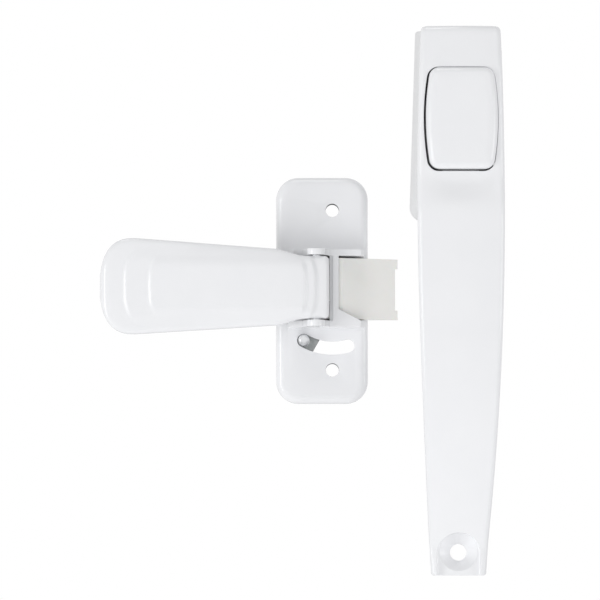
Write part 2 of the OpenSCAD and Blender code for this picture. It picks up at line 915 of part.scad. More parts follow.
// Height of the bolt's long lead-in slope
function slope_off(x) = mix(bolt_off, bolt_tip_off, (x - bolt_slope_x) / (bolt_reach - bolt_slope_x));

// Side of the bolt in x and z
module bolt_side() {
  polygon([
    [bolt_tail, bolt_low], [bolt_reach, bolt_low], [bolt_reach, bolt_tip_off],
    [bolt_slope_x, bolt_off], [bolt_tail, bolt_off]
  ]);
}

// Hollow of the bolt in x and z, whose left end runs from the bottom to the ceiling
module bolt_hollow(left_low, left_high) {
  low = bolt_low - eps;
  ceiling = bolt_off - bolt_wall;
  nose = bolt_reach - 3.4;
  roof = nose - 1;
  polygon([
    [left_low, low], [nose, low], [roof, slope_off(roof) - bolt_wall],
    [bolt_slope_x - 0.4, ceiling], [left_high, ceiling]
  ]);
}

// Clearance for one heel of the lever
module heel_slot(side) {
  arm_room = 0.42;
  swung = lever_swing - heel_lean;
  drop = pivot_off - bolt_off;
  left = bolt_pocket_x;
  right = heel_tip_x + heel_r + heel_room;
  arm_left = pivot_x + drop * tan(heel_lean) - heel_arm / cos(heel_lean) - arm_room;
  arm_right = pivot_x - drop * tan(swung) + bolt_travel + heel_arm / cos(swung) + arm_room;
  low = bolt_low - eps;
  knee = bolt_off - 2.8;
  high = bolt_off + eps;
  half = heel_half + heel_room;
  along_y(side * heel_mid - half, side * heel_mid + half)
    polygon([
      [left, low], [right, low], [right, knee], [arm_right, high], [arm_left, high], [arm_left, knee + 0.2],
      [left, knee]
    ]);
}

module latch_bolt() {
  lug_h = 2.6;
  lug_x = bolt_reach + bolt_lug;
  lug_root = bolt_reach - bite;
  inner = bolt_half - bolt_wall;
  rib = plunger_w / 2 + 0.15;
  color("ivory")
    at_latch()
      difference() {
        union() {
          along_y(-bolt_half, bolt_half)
            bolt_side();
          for (y = [-bolt_half, bolt_half - lug_h])
            along_y(y, y + lug_h)
              polygon([
                [lug_root, bolt_low], [lug_x, bolt_low],
                [lug_x, slope_off(lug_x)], [lug_root, slope_off(lug_root)]
              ]);
        }
        along_y(rib, inner)
          bolt_hollow(bolt_pocket_x, bolt_pocket_x);
        along_y(-inner, -rib)
          bolt_hollow(bolt_pocket_x, bolt_pocket_x);
        along_y(-rib - eps, rib + eps)
          bolt_hollow(ramp_x, bolt_slope_x - 0.5);
        translate([bolt_tail - eps, 0, bolt_spring_z])
          rotate([0, 90, 0])
            cylinder(r = bolt_coil_r + bolt_wire / 2 + slide_gap, h = spring_seat_x - bolt_tail + eps);
        heel_slot(1);
        heel_slot(-1);
      }
}

module bolt_spring() {
  seat = 0.02;
  color("silver")
    at_latch()
      translate([0, 0, bolt_spring_z])
        rotate([0, 90, 0])
          coil(bolt_coil_r, bolt_wire, spring_stop_x + seat, spring_seat_x - seat, 6);
}

module lock_plate() {
  color("gray")
    at_latch()
      difference() {
        union() {
          translate([0, 0, lock_low])
            cylinder(r = lock_disc_r, h = lock_t);
          rotate([0, 0, -lock_start])
            translate([-lock_arm_half, -lock_arm_end, lock_low])
              cube([2 * lock_arm_half, lock_arm_end, lock_t]);
        }
        plunger_slot(0, plate_t);
        rotate([0, 0, -lock_start])
          translate([0, -lock_path_r, 0])
            cylinder(r = lock_neck_r + 0.01, h = plate_t);
      }
}

// Shouldered pin: its neck is riveted into the lock plate and its head is the thumb piece
module lock_pin() {
  round_off = 0.5;
  color("gray")
    at_latch()
      rotate([0, 0, -lock_start])
        translate([0, -lock_path_r, 0]) {
          translate([0, 0, lock_low])
            cylinder(r = lock_neck_r, h = lock_t + bite);
          translate([0, 0, lock_top])
            cylinder(r = lock_pin_r, h = lock_pin_top - lock_top - round_off);
          translate([0, 0, lock_pin_top - round_off])
            cylinder(r1 = lock_pin_r, r2 = lock_pin_r - round_off, h = round_off);
        }
}

module lock_washer() {
  color("silver")
    at_latch()
      rotate_extrude()
        translate([plunger_hole_r + 0.2, lock_top + washer_gap])
          square([lock_disc_r - plunger_hole_r - 1, washer_t]);
}

module back_cover() {
  color("silver")
    at_latch()
      difference() {
        translate([cover_left, cover_bottom, cover_low])
          cube([cover_right - cover_left, cover_top - cover_bottom, cover_t]);
        cylinder(r = plunger_hole_r, h = plate_t);
        for (xy = cover_screw_xy) {
          small_screw_hole(xy, cover_low, cover_t);
          small_screw_sink(xy, cover_low);
        }
      }
}

module cover_screws() {
  color("silver")
    at_latch()
      for (xy = cover_screw_xy)
        small_screw(xy, cover_low, cover_screw_len);
}

handle_casting();
push_button();
plunger_bar();
plunger_pin();
button_spring();
retainer_plate();
retainer_screws();
latch_base();
lever();
lever_pin();
latch_bolt();
bolt_spring();
lock_plate();
lock_pin();
lock_washer();
back_cover();
cover_screws();
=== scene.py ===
import json
from math import asin, copysign, cos, hypot, pi, radians, sin, sqrt

import bmesh
import bpy
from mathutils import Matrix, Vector

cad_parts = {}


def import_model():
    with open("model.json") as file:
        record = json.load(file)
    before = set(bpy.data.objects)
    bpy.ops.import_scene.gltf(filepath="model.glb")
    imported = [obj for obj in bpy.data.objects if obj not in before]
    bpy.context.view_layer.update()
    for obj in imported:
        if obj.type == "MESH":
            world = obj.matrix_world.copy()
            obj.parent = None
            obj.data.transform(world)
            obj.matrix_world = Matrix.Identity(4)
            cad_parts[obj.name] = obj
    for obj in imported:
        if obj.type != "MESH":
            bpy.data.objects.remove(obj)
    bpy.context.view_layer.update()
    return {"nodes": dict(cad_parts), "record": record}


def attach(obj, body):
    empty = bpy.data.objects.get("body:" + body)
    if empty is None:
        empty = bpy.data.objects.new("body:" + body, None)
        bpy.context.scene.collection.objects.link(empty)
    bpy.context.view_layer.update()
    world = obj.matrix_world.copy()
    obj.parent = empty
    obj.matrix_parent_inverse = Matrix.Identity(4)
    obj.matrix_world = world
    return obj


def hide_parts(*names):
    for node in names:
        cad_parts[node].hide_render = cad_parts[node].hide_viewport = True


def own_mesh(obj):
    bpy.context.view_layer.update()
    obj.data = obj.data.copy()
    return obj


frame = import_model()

# Sizes are in millimetres, and each half is drawn lying flat: x right, y up the door, z off the door.
MM = 0.001
MOUNTS = {m["name"]: m for m in frame["record"]["mounts"]}
BODY_OF = {n: b for b, nodes in frame["record"]["behaviour"]["bodies"].items() for n in nodes}
SLOT_OF = {s["node"]: s["material_slot"] for s in frame["record"]["subparts"]}
SCREW_SPACING = MOUNTS["handle_screws"]["dims"]["spacing_y_mm"]
LATCH_X, _, LATCH_Y = (v / MM for v in MOUNTS["latch_screws"]["pos_m"])
SLIDE_GAP = 0.3

# Pull handle
HEAD_UP = SCREW_SPACING / 2 + 3.5
FOOT_DOWN = 123.9
HEAD_W = 21.8
GRIP_W = 23.8
FOOT_W = 15.2
HEAD_OFF = 31
GRIP_OFF = 32
GRIP_T = 8
FOOT_T = 5
CREST_Y = -45
EDGE_R = 1.6
CHANNEL_D = 2.2
FLARE = 1.4
STANDOFF_PROUD = 0.1
UPPER_FLARE = FLARE / 2 + STANDOFF_PROUD
TOP_FLARE = 3.2
STANDOFF_R = 4
STANDOFF_TOP_R = 0.9
STANDOFF_BASE_R = 0.4
STANDOFF_INSET = 0.2
STANDOFF_DROP = 0.7
STANDOFF_SINK = 2
SHOULDER_Y = -SCREW_SPACING / 2
TOP_BEVEL = 2.2
TOP_BEVEL_FALL = 1.5
TOP_BEVEL_TRIM = 1.1
TOP_BEVEL_POWER = 1.4
HEAD_FALL = 1.1
CROWN = 0.5
SCOOP = 0.7
SCOOP_DROP = 3
SCOOP_REACH = 7
FRONT_RISE_RUN = 12
HEAD_TAPER = 2
FOOT_TAPER = 1.8
BACK_EDGE_R = 1.6
BACK_INSET = 0.6
FOOT_FRONT_Y = -FOOT_DOWN + 8.7
FOOT_BACK_Y = -FOOT_DOWN + 16.5
BEND_POWER = 2.2
BEND_FILLET = 2.4
FOOT_EDGE_R = 0.7
FOOT_EDGE_START = 0.93
FOOT_HOLE_R = 2.3
FOOT_HOLE_Y = -FOOT_DOWN + 6.4
POCKET_R = 6.1
POCKET_D = 1.4
POCKET_FILLET = 0.7
POCKET_DRAFT = 0.25
POCKET_Y = FOOT_HOLE_Y - 0.7
SINK_R = 5.2
SINK_D = 2.2
SINK_LIP = 0.15
TAP_R = 1.4
TAP_DEPTH = 20
TAP_CHAMFER = 0.6
LIP = 0.25
PAINT_T = 0.1

# Push button and its chamber
BUTTON_W = 19.5
BUTTON_H = 27.7
BUTTON_BULGE = 1.3
BUTTON_R = 2.8
BUTTON_GAP = 0.5
BUTTON_SIT = 0.25
BUTTON_FACE = HEAD_OFF + 2
BUTTON_EDGE = 2.1
BUTTON_DOME = 0.25
BUTTON_SHELL = 1.6
BUTTON_INSIDE = BUTTON_FACE - 2.9
FLANGE_REACH = 2
FLANGE_HALF = 5
FLANGE_T = 2
WELL_H = BUTTON_H + 2 * BUTTON_GAP
CHAMBER_X = BUTTON_W / 2 + BUTTON_GAP + 0.2
CHAMBER_Y = BUTTON_H / 2 + FLANGE_REACH + 0.6
CHAMBER_R = 0.8
CHAMBER_TOP = HEAD_OFF - 3.2
SKIRT_Z = CHAMBER_TOP - SLIDE_GAP - FLANGE_T
HUB_R = 5
PLUNGER_W = 5.5
PLUNGER_T = 3
PLUNGER_TOP = BUTTON_FACE - 4.2
RETAINER_LOW = 0.4
RETAINER_TOP = RETAINER_LOW + 1.4
POST_R = 2.4
POST_TOP = 12
POST_MERGE = 0.5
POST_X = CHAMBER_X - POST_R + POST_MERGE
POST_Y = CHAMBER_Y - POST_R + POST_MERGE
SCREW_IN = 0.3
RETAINER_SCREWS = [(POST_X - SCREW_IN, POST_Y - SCREW_IN), (SCREW_IN - POST_X, SCREW_IN - POST_Y)]
RETAINER_SCREW_LEN = 5.5
RETAINER_DRILL = 4.3
SMALL_R = 0.75
SMALL_HEAD_R = 1.5
BUTTON_WIRE = 0.9
BUTTON_TURNS = 8

# Latch
PLATE_RIGHT = 9.9
PLATE_LEFT = PLATE_RIGHT - 25.5
PLATE_H = 63
PLATE_T = 3.6
PLATE_R = 6.2
RIM_W = 2.5
RIM_RISE = 2.4
SCREW_HOLE_R = 1.85
BOLT_HALF = 16.8 / 2
BOLT_OFF = 10.2
CHEEK_IN = BOLT_HALF + 0.6
CHEEK_OUT = CHEEK_IN + 1.7
CHEEK_OFF = 11.5
CHEEK_LEFT = -12.3
CHEEK_RIGHT = PLATE_RIGHT - 1.1
PIVOT_X = -4.5
PIVOT_OFF = 13.8
PIVOT_R = 1
PIN_GAP = 0.05
EAR_R = PIVOT_R + 1.6
EAR_SPREAD = 1.2
HEEL_LEN = 8.5
HEEL_R = 1.4
HEEL_LEAN = radians(12)
HEEL_ROOT_HALF = 1.2
HEEL_NECK_HALF = 1.05
HEEL_HALF = 1.4
HEEL_MID = PLUNGER_W / 2 + 0.85 + HEEL_HALF
SPRING_STOP_X = PLATE_LEFT + 1.4
SPRING_STOP_T = 1.2
SPRING_STOP_HALF = 3.2
SPRING_SEAT_X = -PLUNGER_T / 2 - 1.5
BOLT_SPRING_Z = 6.7
BOLT_COIL_R = 1.8
BOLT_WIRE = 0.5
BOLT_TURNS = 6
BRIDGE_LOW = BOLT_OFF + SLIDE_GAP + 0.05
BRIDGE_LEFT = 0.1
BRIDGE_W = 1.6
BRIDGE_WEB = 3.2
BRIDGE_MERGE = 0.5
BRIDGE_LIP_W = 0.9
BRIDGE_LIP_T = 0.5
PLUNGER_HOLE_R = hypot(PLUNGER_W, PLUNGER_T) / 2 + SLIDE_GAP

# Lever
LEVER_LEN = 63
LEVER_TIP_W = 26.4
LEVER_NECK_W = 21.2
LEVER_TIP_OFF = 23
LEVER_HUB_OFF = 17.6
LEVER_WALL = 1.6
LEVER_HUB_R = PIVOT_R + PIN_GAP + 0.7
LEVER_HUB_HALF = CHEEK_IN - SLIDE_GAP - 0.05
LEVER_END_X = PIVOT_X + 3.55
LEVER_TIP_X = LEVER_END_X - LEVER_LEN
FINGER_STEP = 0.6
STEP_SLOPE_RUN = 1.05
STEP_FILLET = 0.3
LEVER_CORNER = 1.3
LEVER_TIP_DEPTH = 3.4
LEVER_HUB_DEPTH = 3.1
LEVER_TIP_ROUND = 2.6
LEVER_END_ROUND = 1.2
TIP_STRAIGHT = 10
TIP_LEN = 9
TIP_POWER = 2.4
TIP_BOW = 6
HUB_BOW = 1.6
NECK_LEN = 15
NECK_RUN = 9
SHOULDER_POWER = 0.4
STEP_UP = [6.9, 13.7]
STEP_DOWN = [LEVER_LEN - 6.4, LEVER_LEN - 3.6]
STEP_FADE = [11.2, 8.6]
STEP_FADE_RATE = 2.5

# Lock
COVER_LOW = 0.3
COVER_T = 0.6
LOCK_TOP = COVER_LOW + COVER_T + 0.15 + 0.8
CAVITY_TOP = LOCK_TOP + 0.4
LOCK_DISC_R = PLATE_RIGHT - 2.5
LOCK_PATH_R = 16.1
LOCK_PIN_R = 1.5
LOCK_SLOT_HALF = LOCK_PIN_R + 0.35
LOCK_START = radians(29.5)
LOCK_TURN = radians(45)
LOCK_ARM_HALF = 3.7
LOCK_ARM_END = LOCK_PATH_R + LOCK_PIN_R + 1.1
LOCK_ROOM = 0.4
COVER_RIGHT = PLATE_RIGHT - 1.3
COVER_LEFT = PLATE_LEFT + 1.4
COVER_TOP = CHEEK_OUT + 2
COVER_BOTTOM = LOCK_SLOT_HALF + 0.5 - LOCK_PATH_R * cos(LOCK_START)
COVER_GAP = 0.1
COVER_IN = 2.5
COVER_SCREWS = [
    (COVER_LEFT + COVER_IN, COVER_TOP - COVER_IN),
    (COVER_RIGHT - COVER_IN, COVER_TOP - COVER_IN),
    (COVER_LEFT + COVER_IN, COVER_BOTTOM + 2 * COVER_IN),
]
COVER_SCREW_LEN = 2.5


# Small mathematics

def mix(a, b, t):
    return a + (b - a) * t


def ease(t):
    u = min(1, max(0, t))
    return u * u * (3 - 2 * u)


def bump(t):
    return ease(t + 1) * ease(1 - t)


def steps(a, b, n):
    """n + 1 evenly spaced values from a to b."""
    return [mix(a, b, i / n) for i in range(n + 1)]


def turns(end, n):
    """n + 1 angles from 0 to end degrees, in radians."""
    return [radians(a) for a in steps(0, end, n)]


def arc(cx, cy, r, a0, a1, n):
    """Points along an arc, with its angles in degrees."""
    return [(cx + r * cos(radians(a)), cy + r * sin(radians(a))) for a in steps(a0, a1, n)]


def circle(cx, cy, r, n=64):
    return arc(cx, cy, r, 0, 360 - 360 / n, n - 1)


def box_outline(x0, y0, x1, y1, r, n=6):
    """Rectangle with round corners."""
    return (
        arc(x1 - r, y0 + r, r, -90, 0, n)
        + arc(x1 - r, y1 - r, r, 0, 90, n)
        + arc(x0 + r, y1 - r, r, 90, 180, n)
        + arc(x0 + r, y0 + r, r, 180, 270, n)
    )


def lift(outline, z):
    return [(x, y, z) for x, y in outline]


# Mesh building

def on_handle(p):
    return Vector((p[0], -p[2], p[1])) * MM


def on_latch(p):
    return Vector((p[0] + LATCH_X, -p[2], p[1] + LATCH_Y)) * MM


def solid(name, points, faces):
    mesh = bpy.data.meshes.new(name)
    mesh.from_pydata(points, [], faces)
    shape = bmesh.new()
    shape.from_mesh(mesh)
    bmesh.ops.recalc_face_normals(shape, faces=shape.faces)
    shape.to_mesh(mesh)
    shape.free()
    piece = bpy.data.objects.new(name, mesh)
    bpy.context.scene.collection.objects.link(piece)
    return piece


def skin(name, rings, place):
    """Closed solid over a stack of rings with equal numbers of points."""
    n = len(rings[0])
    last = len(rings) - 1
    points = [place(p) for ring in rings for p in ring]
    faces = [
        (i * n + j, i * n + (j + 1) % n, (i + 1) * n + (j + 1) % n, (i + 1) * n + j)
        for i in range(last)
        for j in range(n)
    ]
    faces.append(tuple(range(n)))
    faces.append(tuple(last * n + j for j in range(n)))
    return solid(name, points, faces)


def prism(outline, z0, z1, place, name="tool"):
    return skin(name, [lift(outline, z0), lift(outline, z1)], place)


def along_y(outline, y0, y1, place, name="tool"):
    """Extrudes an outline drawn in x and z along y."""
    return skin(name, [[(x, y, z) for x, z in outline] for y in (y0, y1)], place)


def lathe(profile, cx, cy, place, name="tool", n=48):
    """Solid of revolution about an axis off the door, over (radius, height) pairs."""
    return skin(name, [lift(circle(cx, cy, r, n), z) for r, z in profile], place)


def settle(piece):
    """Applies a piece's modifiers to its mesh."""
    graph = bpy.context.evaluated_depsgraph_get()
    mesh = bpy.data.meshes.new_from_object(piece.evaluated_get(graph))
    piece.modifiers.clear()
    piece.data = mesh


def combine(piece, operation, tools):
    for tool in tools:
        step = piece.modifiers.new("step", "BOOLEAN")
        step.operation = operation
        step.solver = "EXACT"
        step.object = tool
        settle(piece)
        bpy.data.objects.remove(tool)


def clean(piece, flat=0.4):
    """Welds a mesh and joins the faces that lie in one plane, to within flat degrees."""
    shape = bmesh.new()
    shape.from_mesh(piece.data)
    bmesh.ops.remove_doubles(shape, verts=shape.verts, dist=0.002 * MM)
    bmesh.ops.dissolve_degenerate(shape, edges=shape.edges, dist=0.001 * MM)
    if flat:
        bmesh.ops.dissolve_limit(
            shape, angle_limit=radians(flat), verts=shape.verts, edges=shape.edges
        )
    shape.to_mesh(piece.data)
    shape.free()


def round_edges(piece, width, segments=2, angle=33):
    step = piece.modifiers.new("edges", "BEVEL")
    step.width = width * MM
    step.segments = segments
    step.limit_method = "ANGLE"
    step.angle_limit = radians(angle)
    settle(piece)


def smooth(piece, angle=33):
    piece.data.shade_smooth()
    piece.data.set_sharp_from_angle(angle=radians(angle))


def refined(name, node, width, segments=2):
    """A CAD node's own solid with its edges slightly rounded."""
    source = frame["nodes"][node].data
    piece = solid(
        name,
        [v.co.copy() for v in source.vertices],
        [tuple(p.vertices) for p in source.polygons],
    )
    clean(piece)
    round_edges(piece, width, segments)
    smooth(piece)
    return piece


# Materials

def noise(nodes, links, coords, scale, detail=3.0, rough=0.55):
    texture = nodes.new("ShaderNodeTexNoise")
    texture.inputs["Scale"].default_value = scale
    texture.inputs["Detail"].default_value = detail
    texture.inputs["Roughness"].default_value = rough
    links.new(coords, texture.inputs["Vector"])
    return texture.outputs["Fac"]


def ramp(nodes, links, value, stops):
    """Colour ramp over (position, colour) stops."""
    node = nodes.new("ShaderNodeValToRGB")
    first, second = node.color_ramp.elements
    for element, (position, colour) in zip((first, second), stops):
        element.position = position
        element.color = (*colour, 1)
    links.new(value, node.inputs["Fac"])
    return node.outputs["Color"]


def spread(nodes, links, value, low, high):
    """Maps a noise value to a range."""
    node = nodes.new("ShaderNodeMapRange")
    node.inputs["From Min"].default_value = 0.3
    node.inputs["From Max"].default_value = 0.7
    node.inputs["To Min"].default_value = low
    node.inputs["To Max"].default_value = high
    links.new(value, node.inputs["Value"])
    return node.outputs["Result"]


def relief(nodes, links, height, depth_mm, strength):
    node = nodes.new("ShaderNodeBump")
    node.inputs["Strength"].default_value = strength
    node.inputs["Distance"].default_value = depth_mm * MM
    links.new(height, node.inputs["Height"])
    return node.outputs["Normal"]


def surface(
    name, pale, deep, *, blotch_mm, rough, grain_mm, grain_depth, stretch=(1, 1, 1), **sockets
):
    """Procedural finish: a colour that drifts between two tones, uneven gloss and a fine relief."""
    material = bpy.data.materials.new(name)
    material.use_nodes = True
    nodes = material.node_tree.nodes
    links = material.node_tree.links
    shader = nodes["Principled BSDF"]
    place = nodes.new("ShaderNodeTexCoord").outputs["Object"]
    mapping = nodes.new("ShaderNodeMapping")
    mapping.inputs["Scale"].default_value = stretch
    links.new(place, mapping.inputs["Vector"])
    blotch = noise(nodes, links, place, 1 / (blotch_mm * MM))
    grain = noise(nodes, links, mapping.outputs["Vector"], 1 / (grain_mm * MM), 2.0)
    links.new(ramp(nodes, links, blotch, [(0.35, deep), (0.65, pale)]), shader.inputs["Base Color"])
    links.new(spread(nodes, links, grain, *rough), shader.inputs["Roughness"])
    links.new(relief(nodes, links, grain, grain_depth, 0.5), shader.inputs["Normal"])
    for socket, value in sockets.items():
        shader.inputs[socket.replace("_", " ")].default_value = value
    return material


MATERIALS = {
    "white_paint": surface(
        "white_paint", (0.868, 0.874, 0.892), (0.856, 0.863, 0.882),
        blotch_mm=14, rough=(0.13, 0.18), grain_mm=2.4, grain_depth=0.003,
    ),
    # Shaded copy of the white paint for the standoff's walls: a duller gloss, and a slightly darker colour
    # that is painted shade.
    "shaded_side_paint": surface(
        "shaded_side_paint", (0.85, 0.855, 0.862), (0.838, 0.843, 0.85),
        blotch_mm=9, rough=(0.72, 0.84), grain_mm=1.2, grain_depth=0.004, Specular_IOR_Level=0.25,
    ),
    # Painted shade: a near-black colour for the screw holes' walls, standing in for the shadow in them.
    "bore_shade": surface(
        "bore_shade", (0.13, 0.135, 0.14), (0.08, 0.085, 0.09),
        blotch_mm=1.2, rough=(0.55, 0.7), grain_mm=0.4, grain_depth=0.01, Specular_IOR_Level=0.2,
    ),
    "ivory_nylon": surface(
        "ivory_nylon", (0.92, 0.915, 0.89), (0.905, 0.90, 0.87),
        blotch_mm=5, rough=(0.38, 0.5), grain_mm=0.35, grain_depth=0.01,
        Subsurface_Weight=0.06, Subsurface_Scale=0.001,
    ),
    "zinc_steel": surface(
        "zinc_steel", (0.79, 0.80, 0.81), (0.72, 0.73, 0.75),
        blotch_mm=2.2, rough=(0.24, 0.42), grain_mm=0.5, grain_depth=0.006,
        stretch=(1, 1, 0.08), Metallic=1.0,
    ),
    "spring_steel": surface(
        "spring_steel", (0.52, 0.52, 0.54), (0.40, 0.40, 0.43),
        blotch_mm=1.2, rough=(0.22, 0.36), grain_mm=0.2, grain_depth=0.004, Metallic=1.0,
    ),
    "lock_steel": surface(
        "lock_steel", (0.40, 0.415, 0.415), (0.30, 0.315, 0.315),
        blotch_mm=1.6, rough=(0.34, 0.52), grain_mm=0.3, grain_depth=0.008,
        stretch=(0.15, 1, 1), Metallic=1.0,
    ),
}


def dress(piece, node, finish=None):
    """Gives a piece the finish, body and slot of the CAD node that it stands for."""
    piece.data.materials.clear()
    piece.data.materials.append(MATERIALS[finish or SLOT_OF[node]])
    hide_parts(node)
    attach(piece, BODY_OF[node])


# Pull handle

def handle_half(y):
    """Half width of the handle's front."""
    if y > SHOULDER_Y:
        return mix(GRIP_W, HEAD_W, ((y - SHOULDER_Y) / (HEAD_UP - SHOULDER_Y)) ** HEAD_TAPER) / 2
    return mix(GRIP_W, FOOT_W, ((SHOULDER_Y - y) / (FOOT_DOWN + SHOULDER_Y)) ** FOOT_TAPER) / 2


def front_off(y):
    """Front of the straight stretch, which falls away at the top and rises below the button."""
    if y > WELL_H / 2:
        return HEAD_OFF - HEAD_FALL * (y - WELL_H / 2) / (HEAD_UP - WELL_H / 2)
    return mix(HEAD_OFF, GRIP_OFF, ease((-y - WELL_H / 2) / FRONT_RISE_RUN))


def front_crown(y):
    """Bulge of the front face, hollowed below the button."""
    return CROWN - (CROWN + SCOOP) * bump((y + WELL_H / 2 + SCOOP_DROP) / SCOOP_REACH)


def front_z(x, y):
    """Height of the straight stretch's front face."""
    flat = handle_half(y) - EDGE_R
    if abs(x) <= flat:
        return front_off(y) + front_crown(y) * (1 - (x / flat) ** 2)
    return front_off(y) - EDGE_R + sqrt(max(0, EDGE_R**2 - (abs(x) - flat) ** 2))


def handle_ring(front, back, trim=0):
    """Ring of the handle between a front point and a back point, each (y, z)."""
    t = hypot(front[0] - back[0], front[1] - back[1])
    half_front = handle_half(front[0]) - trim
    front_share, back_share = 0.42, 0.3
    r_front = min(EDGE_R, t * front_share)
    r_back = min(BACK_EDGE_R, t * back_share)
    x_front = half_front - r_front
    x_back = half_front - BACK_INSET - r_back
    crown_fade, foot_fade, head_fade = 20, 14, 8
    bow = front_crown(front[0]) * ease((front[0] - FOOT_FRONT_Y) / crown_fade)
    free = ease((back[0] - FOOT_BACK_Y) / foot_fade) * ease((-back[0] - HEAD_UP) / head_fade)
    least_dig = 0.05
    dig = least_dig + CHANNEL_D * free
    section = arc(x_back, r_back, r_back, -90, 0, 8)
    section += arc(x_front, t - r_front, r_front, 0, 90, 14)
    section += [(x, t + bow * (1 - (x / x_front) ** 2)) for x in steps(x_front, -x_front, 28)[1:-1]]
    section += arc(-x_front, t - r_front, r_front, 90, 180, 14)
    section += arc(-x_back, r_back, r_back, 180, 270, 8)
    section += [(x, dig * (1 - (x / x_back) ** 2)) for x in steps(-x_back, x_back, 16)[1:-1]]
    return [
        (x, mix(back[0], front[0], d / t), mix(back[1], front[1], d / t)) for x, d in section
    ]


def straight_ring(y, fall=0, trim=0):
    z = front_off(y)
    return handle_ring((y, z - fall), (y, z - GRIP_T), trim)


def filleted(y, z):
    """Height of the front with its hollow corner at the foot rounded out."""
    along = y - FOOT_FRONT_Y
    if abs(along) >= BEND_FILLET:
        return z
    slope = BEND_POWER * (GRIP_OFF - FOOT_T) / (CREST_Y - FOOT_FRONT_Y)
    return max(z, FOOT_T + slope * (along + BEND_FILLET) ** 2 / (4 * BEND_FILLET))


def bend_ring(s):
    """Ring of the bend at share s of the way from the foot to the crest."""
    up = 1 - (1 - s) ** BEND_POWER
    y = mix(FOOT_FRONT_Y, CREST_Y, s)
    front = (y, filleted(y, mix(FOOT_T, GRIP_OFF, up)))
    back = (mix(FOOT_BACK_Y, CREST_Y, s), (GRIP_OFF - GRIP_T) * up)
    return handle_ring(front, back)


def foot_ring(t, trim=0):
    y = mix(FOOT_FRONT_Y, -FOOT_DOWN, t)
    back = (mix(FOOT_BACK_Y, -FOOT_DOWN, t), 0)
    return handle_ring((y, filleted(y, FOOT_T - trim / 2)), back, trim)


def handle_rings():
    bevel = [
        straight_ring(
            HEAD_UP - TOP_BEVEL * (1 - cos(a)),
            TOP_BEVEL_FALL * (1 - sin(a)),
            TOP_BEVEL_TRIM * (1 - sin(a)) ** TOP_BEVEL_POWER,
        )
        for a in turns(81, 9)
    ]
    straight = [straight_ring(y) for y in steps(HEAD_UP - TOP_BEVEL, CREST_Y, 110)]
    bend = [bend_ring(s) for s in steps(0.99, 0, 110)]
    foot = [foot_ring(t) for t in steps(0.04, 0.9, 24)]
    end = [
        foot_ring(FOOT_EDGE_START + (1 - FOOT_EDGE_START) * sin(a), FOOT_EDGE_R * (1 - cos(a)))
        for a in turns(90, 8)
    ]
    return bevel + straight + bend + foot + end


def standoff():
    """Post from the door up to the back of the head, with its base edge rounded."""
    end_y = HEAD_UP - STANDOFF_INSET
    high_y = end_y - STANDOFF_TOP_R - STANDOFF_DROP
    join_z = HEAD_OFF - GRIP_T + STANDOFF_SINK
    base_r = STANDOFF_BASE_R

    def ring(z, inset):
        t = z / join_z
        low = GRIP_W / 2 + FLARE * (1 - z / HEAD_OFF) - STANDOFF_R
        high = HEAD_W / 2 + mix(UPPER_FLARE, STANDOFF_PROUD, t) - STANDOFF_TOP_R
        y_low = STANDOFF_R - end_y + FLARE * z / HEAD_OFF
        y_high = high_y + TOP_FLARE * (1 - t)
        outline = (
            arc(low, y_low, STANDOFF_R - inset, -90, 0, 14)
            + arc(high, y_high, STANDOFF_TOP_R - inset, 0, 90, 8)
            + arc(-high, y_high, STANDOFF_TOP_R - inset, 90, 180, 8)
            + arc(-low, y_low, STANDOFF_R - inset, 180, 270, 14)
        )
        return lift(outline, z)

    base = [ring(base_r * (1 - cos(a)), base_r * (1 - sin(a))) for a in turns(90, 5)]
    walls = [ring(z, 0) for z in steps(base_r, join_z, 10)[1:]]
    return skin("tool", base + walls, on_handle)


def barrel(inset):
    """Outline of the button, a barrel with round corners."""
    h = BUTTON_H / 2
    w = BUTTON_W / 2
    side_r = (h * h + BUTTON_BULGE**2) / (2 * BUTTON_BULGE)
    cy = h - BUTTON_R
    a = asin(cy / (side_r - BUTTON_R))
    cx = w - side_r + (side_r - BUTTON_R) * cos(a)
    rs = side_r - inset
    rc = BUTTON_R - inset
    d = a * 180 / pi
    turn = (90 - d) / 10
    return (
        arc(w - side_r, 0, rs, -d, d, 30)
        + arc(cx, cy, rc, d + turn, 90, 9)
        + arc(-cx, cy, rc, 90, 180 - d - turn, 9)
        + arc(side_r - w, 0, rs, 180 - d, 180 + d, 30)
        + arc(-cx, -cy, rc, 180 + d + turn, 270, 9)
        + arc(cx, -cy, rc, 270, 360 - d - turn, 9)
    )


def well():
    """Cutter for the button's opening, with a lip that follows the front face."""
    gap = BUTTON_GAP - PAINT_T
    below, proud = 4, 0.02
    rings = [lift(barrel(-gap), CHAMBER_TOP - below)]
    for a in turns(80, 8):
        outline = barrel(-gap - LIP * (1 - cos(a)))
        rings.append([(x, y, front_z(x, y) - LIP * (1 - sin(a)) + proud) for x, y in outline])
    rings.append([(x, y, HEAD_OFF + GRIP_T) for x, y, _ in rings[-1]])
    return skin("tool", rings, on_handle)


def foot_pocket():
    """Cutter for the pocket round the foot's screw, open at the handle's end."""
    floor = FOOT_T - POCKET_D
    beyond = 5

    def outline(grow):
        r = POCKET_R + grow
        far = -FOOT_DOWN - beyond
        return [(r, far)] + arc(0, POCKET_Y, r, 0, 180, 40) + [(-r, far)]

    rings = [
        lift(outline(-POCKET_FILLET * (1 - sin(a))), floor + POCKET_FILLET * (1 - cos(a)))
        for a in turns(90, 6)
    ]
    rings.append(lift(outline(POCKET_DRAFT), GRIP_OFF))
    return skin("tool", rings, on_handle)


